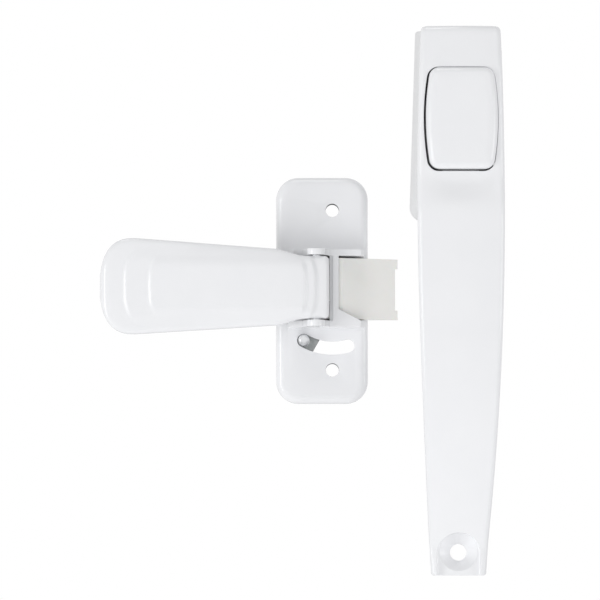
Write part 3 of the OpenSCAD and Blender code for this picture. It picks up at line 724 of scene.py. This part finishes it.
def dull_and_shade_sides(piece):
    """Gives the standoff's walls, which are painted as cast, a duller coat than the smoothed front, and a
    slightly darker colour that paints shade onto these walls.
    """
    piece.data.materials.append(MATERIALS["shaded_side_paint"])
    wall_top = HEAD_OFF - GRIP_T + STANDOFF_SINK + 0.2
    wall_low = -HEAD_UP - 1
    for face in piece.data.polygons:
        off, up = -face.center.y / MM, face.center.z / MM
        if off < wall_top and up > wall_low:
            face.material_index = 1


def handle_shell():
    piece = skin("handle_shell", handle_rings(), on_handle)
    combine(piece, "UNION", [standoff()])
    chamber = box_outline(-CHAMBER_X, -CHAMBER_Y, CHAMBER_X, CHAMBER_Y, CHAMBER_R)
    combine(piece, "DIFFERENCE", [prism(chamber, -1, CHAMBER_TOP, on_handle), well(), foot_pocket()])
    for side in (-1, 1):
        for end in (-1, 1):
            post = circle(side * POST_X, end * POST_Y, POST_R, 32)
            combine(piece, "UNION", [prism(post, RETAINER_TOP, POST_TOP, on_handle)])
    tap_mouth = TAP_R + TAP_CHAMFER
    mouth = [(tap_mouth, -0.5), (tap_mouth, 0), (TAP_R, TAP_CHAMFER), (TAP_R, TAP_DEPTH)]
    taps = [lathe(mouth, 0, end * SCREW_SPACING / 2, on_handle) for end in (-1, 1)]
    floor = FOOT_T - POCKET_D
    sink_top = SINK_R + SINK_LIP
    sink = [
        (FOOT_HOLE_R, -1), (FOOT_HOLE_R, floor - SINK_D), (SINK_R, floor), (sink_top, floor + 0.2),
        (sink_top, GRIP_OFF),
    ]
    combine(piece, "DIFFERENCE", taps + [lathe(sink, 0, FOOT_HOLE_Y, on_handle)])
    neck = SMALL_R + PIN_GAP
    drill = [(neck, RETAINER_TOP - 1), (neck, RETAINER_TOP + RETAINER_DRILL)]
    combine(piece, "DIFFERENCE", [lathe(drill, x, y, on_handle, n=24) for x, y in RETAINER_SCREWS])
    clean(piece, flat=0)
    smooth(piece, angle=30)
    dress(piece, "handle_casting")
    dull_and_shade_sides(piece)


# Push button

def button_cap():
    """Round-edged cap with a slightly domed face, a hollow back, a hub and two retaining flanges."""
    def sat(p):
        return on_handle((p[0] + BUTTON_SIT, p[1] + BUTTON_SIT, p[2]))

    edge_top = BUTTON_FACE - BUTTON_DOME
    edge = [
        lift(barrel(BUTTON_EDGE * (1 - cos(a)) - PAINT_T), edge_top - BUTTON_EDGE * (1 - sin(a)))
        for a in turns(90, 12)
    ]
    rim = barrel(BUTTON_EDGE - PAINT_T)
    face = [
        [(x * s, y * s, BUTTON_FACE - BUTTON_DOME * (1 - sqrt(1 - s**3))) for x, y in rim]
        for s in (0.97, 0.93, 0.87, 0.78, 0.66, 0.5, 0.3, 0.12, 0.02)
    ]
    foot = [lift(barrel(-PAINT_T), SKIRT_Z)]
    piece = skin("button_cap", foot + edge + face, sat)
    combine(piece, "DIFFERENCE", [prism(barrel(BUTTON_SHELL), SKIRT_Z - 1, BUTTON_INSIDE, sat)])
    merge = 0.5
    combine(piece, "UNION", [prism(circle(0, 0, HUB_R), SKIRT_Z, BUTTON_INSIDE + merge, on_handle)])
    for end in (-1, 1):
        near = end * (BUTTON_H / 2 - 2 * merge)
        far = end * (BUTTON_H / 2 + FLANGE_REACH)
        flange = box_outline(-FLANGE_HALF, min(near, far), FLANGE_HALF, max(near, far), 0.5)
        combine(piece, "UNION", [prism(flange, SKIRT_Z, SKIRT_Z + FLANGE_T, on_handle)])
    w = PLUNGER_T / 2 + PIN_GAP
    h = PLUNGER_W / 2 + PIN_GAP
    socket = box_outline(-w, -h, w, h, 0.2)
    combine(piece, "DIFFERENCE", [prism(socket, SKIRT_Z - 1, PLUNGER_TOP, on_handle)])
    clean(piece, flat=0)
    smooth(piece, angle=30)
    dress(piece, "push_button")


def coil(name, r, wire, length, count, place):
    """Wire coil with closed ends, from 0 to length along its axis."""
    wire_r = wire / 2
    per_turn = 40
    sides = 14
    closed = 0.8
    rings = []
    for i in range(count * per_turn + 1):
        a = 2 * pi * i / per_turn
        t = min(1, max(0, (i / per_turn - closed) / (count - 2 * closed)))
        z = mix(wire_r, length - wire_r, t)
        rings.append([
            ((r + wire_r * cos(b)) * cos(a), (r + wire_r * cos(b)) * sin(a), z + wire_r * sin(b))
            for b in [2 * pi * j / sides for j in range(sides)]
        ])
    piece = skin(name, rings, place)
    smooth(piece, angle=60)
    return piece


def small_screws(name, node, places, low, length, place):
    """Countersunk screws with a cross recess, as one group."""
    cone = SMALL_HEAD_R - SMALL_R
    rim, point = 0.06, 0.3
    profile = [
        (SMALL_HEAD_R - rim, low), (SMALL_HEAD_R, low + rim), (SMALL_R, low + cone),
        (SMALL_R, low + length - point), (SMALL_R - point, low + length),
    ]
    arm, half, depth = 0.85, 0.19, 0.42
    group = None
    for x, y in places:
        screw = lathe(profile, x, y, place, name, 32)
        for w, h in ((arm, half), (half, arm)):
            slot = box_outline(x - w, y - h, x + w, y + h, 0.08, 2)
            combine(screw, "DIFFERENCE", [prism(slot, low - 1, low + depth, place)])
        smooth(screw, angle=30)
        if group is None:
            group = screw
        else:
            combine(group, "UNION", [screw])
    smooth(group, angle=30)
    dress(group, node)


# Latch

def plate_outline(inset):
    return box_outline(
        PLATE_LEFT + inset, -PLATE_H / 2 + inset, PLATE_RIGHT - inset, PLATE_H / 2 - inset,
        PLATE_R - inset, 16,
    )


def plate():
    chamfer = 0.2
    rings = [lift(plate_outline(chamfer), 0), lift(plate_outline(0), chamfer)]
    rings += [
        lift(plate_outline(RIM_W * (1 - cos(a))), PLATE_T - RIM_RISE * (1 - sin(a)))
        for a in turns(90, 12)
    ]
    return skin("base", rings, on_latch)


def cheek(y0, y1):
    """One of the two walls beside the bolt, with an ear round the lever's pin."""
    low = PLATE_T - 1
    nose_run, nose_fall, chamfer = 1.6, 2, 1
    side = [
        (CHEEK_LEFT, low), (CHEEK_LEFT, CHEEK_OFF - nose_fall), (CHEEK_LEFT + nose_run, CHEEK_OFF),
        (PIVOT_X - EAR_R - EAR_SPREAD, CHEEK_OFF), (PIVOT_X - EAR_R, PIVOT_OFF),
    ]
    side += arc(PIVOT_X, PIVOT_OFF, EAR_R, 180, 0, 24)[1:-1]
    side += [
        (PIVOT_X + EAR_R, PIVOT_OFF), (PIVOT_X + EAR_R + EAR_SPREAD, CHEEK_OFF),
        (CHEEK_RIGHT - chamfer, CHEEK_OFF), (CHEEK_RIGHT, CHEEK_OFF - chamfer), (CHEEK_RIGHT, low),
    ]
    return along_y(side, y0, y1, on_latch)


def bridge():
    """Bridge over the bolt from cheek to cheek, with a web along the lower cheek."""
    edge = CHEEK_IN + BRIDGE_MERGE
    right = BRIDGE_LEFT + BRIDGE_W
    web_end = CHEEK_RIGHT - 1
    outline = [
        (BRIDGE_LEFT, -edge), (web_end, -edge), (web_end, -CHEEK_IN),
        (right, BRIDGE_WEB - CHEEK_IN), (right, edge), (BRIDGE_LEFT, edge),
    ]
    return prism(outline, BRIDGE_LOW, CHEEK_OFF, on_latch)


def bridge_lip():
    """Thin lip along the bridge that hides the bolt's slots."""
    edge = CHEEK_IN + BRIDGE_MERGE
    overlap = 0.3
    left = BRIDGE_LEFT - BRIDGE_LIP_W
    right = BRIDGE_LEFT + overlap
    lip = [(left, -edge), (right, -edge), (right, edge), (left, edge)]
    return prism(lip, BRIDGE_LOW, BRIDGE_LOW + BRIDGE_LIP_T, on_latch)


def lock_slot():
    """Outline of the arc slot with round ends."""
    half = LOCK_SLOT_HALF
    a0 = -LOCK_START
    a1 = LOCK_TURN - LOCK_START
    outer = [((LOCK_PATH_R + half) * sin(a), -(LOCK_PATH_R + half) * cos(a)) for a in steps(a0, a1, 40)]
    inner = [((LOCK_PATH_R - half) * sin(a), -(LOCK_PATH_R - half) * cos(a)) for a in steps(a1, a0, 40)]
    turn = 180 / pi

    def end(a, start):
        x = LOCK_PATH_R * sin(a)
        y = -LOCK_PATH_R * cos(a)
        return arc(x, y, half, start, start + 180, 16)[1:-1]

    return outer + end(a1, a1 * turn - 90) + inner + end(a0, a0 * turn + 90)


def arm_room():
    """Outline of the lock plate's arm over its whole turn, with room round it."""
    half = LOCK_ARM_HALF + LOCK_ROOM
    end = hypot(LOCK_ARM_HALF, LOCK_ARM_END) + LOCK_ROOM
    a0 = -LOCK_START
    a1 = LOCK_TURN - LOCK_START

    def turned(x, y, a):
        return x * cos(a) - y * sin(a), x * sin(a) + y * cos(a)

    first = [turned(-half, 0, a0), turned(-half, -end, a0)]
    swing = [(end * sin(a), -end * cos(a)) for a in steps(a0, a1, 40)]
    last = [turned(half, -end, a1), turned(half, 0, a1)]
    return first + swing + last


def paint_bore_shade(piece):
    """Paints shade on the walls of the two screw holes: a near-black colour stands in for the shadow
    inside them.
    """
    piece.data.materials.append(MATERIALS["bore_shade"])
    axes = [on_latch((0, end * SCREW_SPACING / 2, 0)) for end in (-1, 1)]
    slack = 0.03
    reach = (SCREW_HOLE_R + slack) * MM
    for face in piece.data.polygons:
        centre = face.center
        if any(hypot(centre.x - axis.x, centre.z - axis.z) < reach for axis in axes):
            face.material_index = 1


def base():
    piece = plate()
    tabs = [cheek(CHEEK_IN, CHEEK_OUT), cheek(-CHEEK_OUT, -CHEEK_IN), bridge(), bridge_lip()]
    half = SPRING_STOP_HALF
    stop = box_outline(SPRING_STOP_X - SPRING_STOP_T, -half, SPRING_STOP_X, half, 0.3, 2)
    stop_top = BOLT_SPRING_Z + BOLT_COIL_R + 0.5
    tabs.append(prism(stop, PLATE_T - 2, stop_top, on_latch))
    combine(piece, "UNION", tabs)
    cover = box_outline(
        COVER_LEFT - COVER_GAP, COVER_BOTTOM - COVER_GAP,
        COVER_RIGHT + COVER_GAP, COVER_TOP + COVER_GAP, 0.4,
    )
    neck = SMALL_R + PIN_GAP
    drill_end = 3
    drill = [
        (SMALL_HEAD_R + PIN_GAP, COVER_LOW), (neck, COVER_LOW + SMALL_HEAD_R - SMALL_R), (neck, drill_end),
    ]
    rims = [(SCREW_HOLE_R, -1), (SCREW_HOLE_R, PLATE_T + 1)]
    pin_hole = circle(PIVOT_X, PIVOT_OFF, PIVOT_R + 0.01, 32)
    tools = [
        prism(cover, -1, COVER_LOW + COVER_T, on_latch),
        prism(circle(0, 0, LOCK_DISC_R + LOCK_ROOM), -1, CAVITY_TOP, on_latch),
        prism(arm_room(), -1, CAVITY_TOP, on_latch),
        prism(lock_slot(), -1, PLATE_T + 1, on_latch),
        prism(circle(0, 0, PLUNGER_HOLE_R), -1, PLATE_T + 1, on_latch),
        along_y(pin_hole, -CHEEK_OUT - 1, CHEEK_OUT + 1, on_latch),
    ]
    tools += [lathe(rims, 0, end * SCREW_SPACING / 2, on_latch) for end in (-1, 1)]
    tools += [lathe(drill, x, y, on_latch, n=24) for x, y in COVER_SCREWS]
    combine(piece, "DIFFERENCE", tools)
    clean(piece, flat=0.2)
    round_edges(piece, width=0.22, segments=3)
    smooth(piece)
    dress(piece, "latch_base")
    paint_bore_shade(piece)


# Lever

def paddle_half(d):
    """Half width of the paddle at distance d from its tip."""
    neck = LEVER_LEN - NECK_LEN
    body = mix(LEVER_TIP_W, LEVER_NECK_W, max(0, d - TIP_STRAIGHT) / (neck - TIP_STRAIGHT)) / 2
    if d > neck:
        body = mix(body, LEVER_HUB_HALF, ease((d - neck) / NECK_RUN))
    body -= LEVER_CORNER * (1 - rounded(max(0, LEVER_LEN - d), LEVER_CORNER))
    least_share = 0.013
    nose = min(1, max(least_share, d / TIP_LEN))
    return body * (1 - (1 - nose) ** TIP_POWER) ** (1 / TIP_POWER)


def paddle_bow(d):
    """Bow of the finger steps: they wrap round the tip, and the other way at the hub."""
    left = LEVER_LEN - d
    tip = TIP_BOW * ease((d - 0.2) / 7) * (1 - ease((d - 16) / 14))
    hub = HUB_BOW * ease((16 - left) / 8) * (1 - ease((3.4 - left) / 3))
    return tip - hub


def riser(d):
    """Share of a finger step climbed at distance d past its middle, a straight slope with round ends."""
    if d > 0:
        return 1 - riser(-d)
    climbed = d / STEP_SLOPE_RUN + 0.5
    turn = STEP_FILLET / STEP_SLOPE_RUN
    if climbed >= turn:
        return climbed
    return max(0, climbed + turn) ** 2 / (4 * turn)


def finger_rise(d, y):
    """Height that the finger steps add."""
    return sum(
        FINGER_STEP
        * riser(d - STEP_UP[i])
        * (1 - riser(d - STEP_DOWN[1 - i]))
        * (1 - ease((abs(y) / STEP_FADE[i] - 1) * STEP_FADE_RATE + 1))
        for i in (0, 1)
    )


def paddle_depth(d):
    return mix(LEVER_TIP_DEPTH, LEVER_HUB_DEPTH, d / LEVER_LEN)


def paddle_low(d):
    return mix(LEVER_TIP_OFF, LEVER_HUB_OFF, d / LEVER_LEN) - 2 * FINGER_STEP - paddle_depth(d)


def shoulder(half, low, high, n):
    """Round-shouldered cross-section in y and z."""
    points = []
    for a in steps(0, pi, n):
        y = half * copysign(abs(cos(a)) ** SHOULDER_POWER, cos(a))
        points.append((y, low + high * max(0, sin(a)) ** SHOULDER_POWER))
    return points


def rounded(d, r):
    """How far a face has risen at distance d from a rounded end of radius r."""
    return sqrt(1 - (1 - min(1, d / r)) ** 2)


def paddle_ring(d):
    bow = paddle_bow(d)
    half = paddle_half(d + bow)
    end_rise = 0.3
    ends = rounded(d, LEVER_TIP_ROUND) * rounded(LEVER_LEN - d + end_rise, LEVER_END_ROUND)
    high = paddle_depth(d) * ends
    return [
        (LEVER_TIP_X + d + bow * (abs(y) / half) ** 3, y, z + finger_rise(d, y))
        for y, z in shoulder(half, paddle_low(d), high, 72)
    ]


def hollow_ring(d, start):
    open_by, start_rise, start_round = 0.5, 0.3, 2
    half = paddle_half(d) - LEVER_WALL
    low = paddle_low(d) - open_by
    high = (paddle_depth(d) - LEVER_WALL) * rounded(d - start + start_rise, start_round) + open_by
    return [(LEVER_TIP_X + d, y, z) for y, z in shoulder(half, low, high, 36)]


def pull_lever():
    tip = [0.13, 0.25, 0.45, 0.75, 1.1, 1.6, 2.2, 2.8, 3.5, 4.2, 5, 5.7]
    body = steps(6.1, LEVER_LEN - 2.6, 420)
    end = [LEVER_LEN - s for s in (2.1, 1.6, 1.2, 0.9, 0.6, 0.4, 0.2, 0.1, 0)]
    piece = skin("pull_lever", [paddle_ring(d) for d in tip + body + end], on_latch)
    start = LEVER_WALL + 0.6
    inside = [start + t for t in (0, 0.3, 0.7, 1.2, 1.8, 2.6, 4, 5.5, 7)]
    inside += steps(start + 8, LEVER_LEN - LEVER_WALL, 24)
    combine(piece, "DIFFERENCE", [skin("tool", [hollow_ring(d, start) for d in inside], on_latch)])
    hub = circle(PIVOT_X, PIVOT_OFF, LEVER_HUB_R, 48)
    combine(piece, "UNION", [along_y(hub, -LEVER_HUB_HALF, LEVER_HUB_HALF, on_latch)])
    for side in (-1, 1):
        combine(piece, "UNION", [heel(side)])
    bore = circle(PIVOT_X, PIVOT_OFF, PIVOT_R + PIN_GAP, 40)
    combine(piece, "DIFFERENCE", [along_y(bore, -CHEEK_OUT, CHEEK_OUT, on_latch)])
    clean(piece, flat=0)
    smooth(piece, angle=34)
    dress(piece, "lever")


def heel(side):
    """Arm from the hub to the round tip that drives the bolt."""
    def turned(u, v):
        x = u * cos(HEEL_LEAN) - v * sin(HEEL_LEAN)
        z = u * sin(HEEL_LEAN) + v * cos(HEEL_LEAN)
        return PIVOT_X + x, PIVOT_OFF + z

    neck = 1 - HEEL_LEN
    outline = [turned(HEEL_ROOT_HALF, 0), turned(-HEEL_ROOT_HALF, 0), turned(-HEEL_NECK_HALF, neck)]
    outline += [turned(u, v) for u, v in arc(0, -HEEL_LEN, HEEL_R, 140, 400, 28)]
    outline.append(turned(HEEL_NECK_HALF, neck))
    middle = side * HEEL_MID
    return along_y(outline, middle - HEEL_HALF, middle + HEEL_HALF, on_latch)


# Pieces

handle_shell()
button_cap()
base()
pull_lever()

EDGES = {
    "plunger_bar": ("plunger", 0.15),
    "plunger_pin": ("cross_pin", 0.12),
    "retainer_plate": ("spring_plate", 0.12),
    "lever_pin": ("pivot", 0.15),
    "latch_bolt": ("bolt", 0.3),
    "lock_plate": ("lock_arm", 0.08),
    "lock_pin": ("thumb_pin", 0.12),
    "lock_washer": ("friction_ring", 0.05),
    "back_cover": ("cover", 0.08),
}
FINISH = {"lock_pin": "zinc_steel"}
for node, (name, width) in EDGES.items():
    dress(refined(name, node, width), node, FINISH.get(node))

coil_room = 0.15
button_coil_r = PLUNGER_HOLE_R + coil_room + BUTTON_WIRE / 2
button_length = SKIRT_Z - RETAINER_TOP
button_coil = coil(
    "return_coil", button_coil_r, BUTTON_WIRE, button_length, BUTTON_TURNS,
    lambda p: on_handle((p[0], p[1], p[2] + RETAINER_TOP)),
)
dress(button_coil, "button_spring")
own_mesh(button_coil)

bolt_length = SPRING_SEAT_X - SPRING_STOP_X
bolt_coil = coil(
    "bolt_coil", BOLT_COIL_R, BOLT_WIRE, bolt_length, BOLT_TURNS,
    lambda p: on_latch((p[2] + SPRING_STOP_X, p[1], BOLT_SPRING_Z - p[0])),
)
dress(bolt_coil, "bolt_spring")
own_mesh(bolt_coil)

small_screws(
    "plate_screws", "retainer_screws", RETAINER_SCREWS, RETAINER_LOW, RETAINER_SCREW_LEN, on_handle
)
small_screws("cover_fixings", "cover_screws", COVER_SCREWS, COVER_LOW, COVER_SCREW_LEN, on_latch)


# Floor, light and camera

MIDDLE = (-0.04, 0, -0.05)


def floor():
    size = 1.0
    level = -0.15
    bpy.ops.mesh.primitive_circle_add(
        vertices=96, radius=size, fill_type="NGON", location=(MIDDLE[0], MIDDLE[1], level)
    )
    piece = bpy.context.object
    piece.name = "floor"
    piece.visible_shadow = False
    pale = surface(
        "floor", (0.92, 0.92, 0.92), (0.9, 0.9, 0.905),
        blotch_mm=120, rough=(0.7, 0.8), grain_mm=4, grain_depth=0.05,
    )
    piece.data.materials.append(pale)


def lamp(name, place, size, power, tall=1):
    """Oval lamp that points at the middle of the set, tall times as high as it is wide."""
    light = bpy.data.lights.new(name, "AREA")
    light.shape = "ELLIPSE"
    light.size = size
    light.size_y = size * tall
    light.energy = power
    holder = bpy.data.objects.new(name, light)
    holder.location = place
    holder.rotation_euler = (Vector(MIDDLE) - Vector(place)).to_track_quat("-Z", "Y").to_euler()
    bpy.context.scene.collection.objects.link(holder)


def world(level):
    """Even light from all round, white where the camera, gloss or glass looks at it."""
    sky = bpy.data.worlds.new("studio")
    sky.use_nodes = True
    bpy.context.scene.world = sky
    nodes = sky.node_tree.nodes
    links = sky.node_tree.links
    path = nodes.new("ShaderNodeLightPath")
    seen = nodes.new("ShaderNodeMath")
    seen.operation = "MAXIMUM"
    links.new(path.outputs["Is Camera Ray"], seen.inputs[0])
    links.new(path.outputs["Is Glossy Ray"], seen.inputs[1])
    clear = nodes.new("ShaderNodeMath")
    clear.operation = "MAXIMUM"
    links.new(seen.outputs["Value"], clear.inputs[0])
    links.new(path.outputs["Is Transmission Ray"], clear.inputs[1])
    strength = nodes.new("ShaderNodeMix")
    strength.inputs["A"].default_value = level
    strength.inputs["B"].default_value = 1.0
    links.new(clear.outputs["Value"], strength.inputs["Factor"])
    background = nodes["Background"]
    background.inputs["Color"].default_value = (1, 1, 1, 1)
    links.new(strength.outputs["Result"], background.inputs["Strength"])


def camera():
    """Long lens, level with the lower part of the handle and looking slightly up."""
    centre = Vector((-0.04387, 0, -0.0473))
    distance = 1.2035
    lift_angle = radians(4)
    view = bpy.data.cameras.new("camera")
    view.lens = 259.2
    view.sensor_width = 36
    view.clip_end = 20
    holder = bpy.data.objects.new("camera", view)
    holder.location = centre + Vector((0, -distance * cos(lift_angle), -distance * sin(lift_angle)))
    holder.rotation_euler = (pi / 2 + lift_angle, 0, 0)
    bpy.context.scene.collection.objects.link(holder)
    bpy.context.scene.camera = holder


floor()
world(level=0.5)
lamp("key", (-0.05, -1.2, -0.95), size=1.4, power=6.7)
lamp("side", (-1.06, -0.62, -0.2), size=0.3, power=4.2, tall=2.6)
lamp("low", (-0.08, -0.25, -1.15), size=0.5, power=1.3)
lamp("fill", (1.2, -0.6, -0.1), size=0.7, power=3.3)
lamp("top", (-0.2, -0.22, 1.1), size=0.5, power=2.2)
camera()
bpy.context.scene.view_settings.view_transform = "Standard"

bpy.context.view_layer.update()
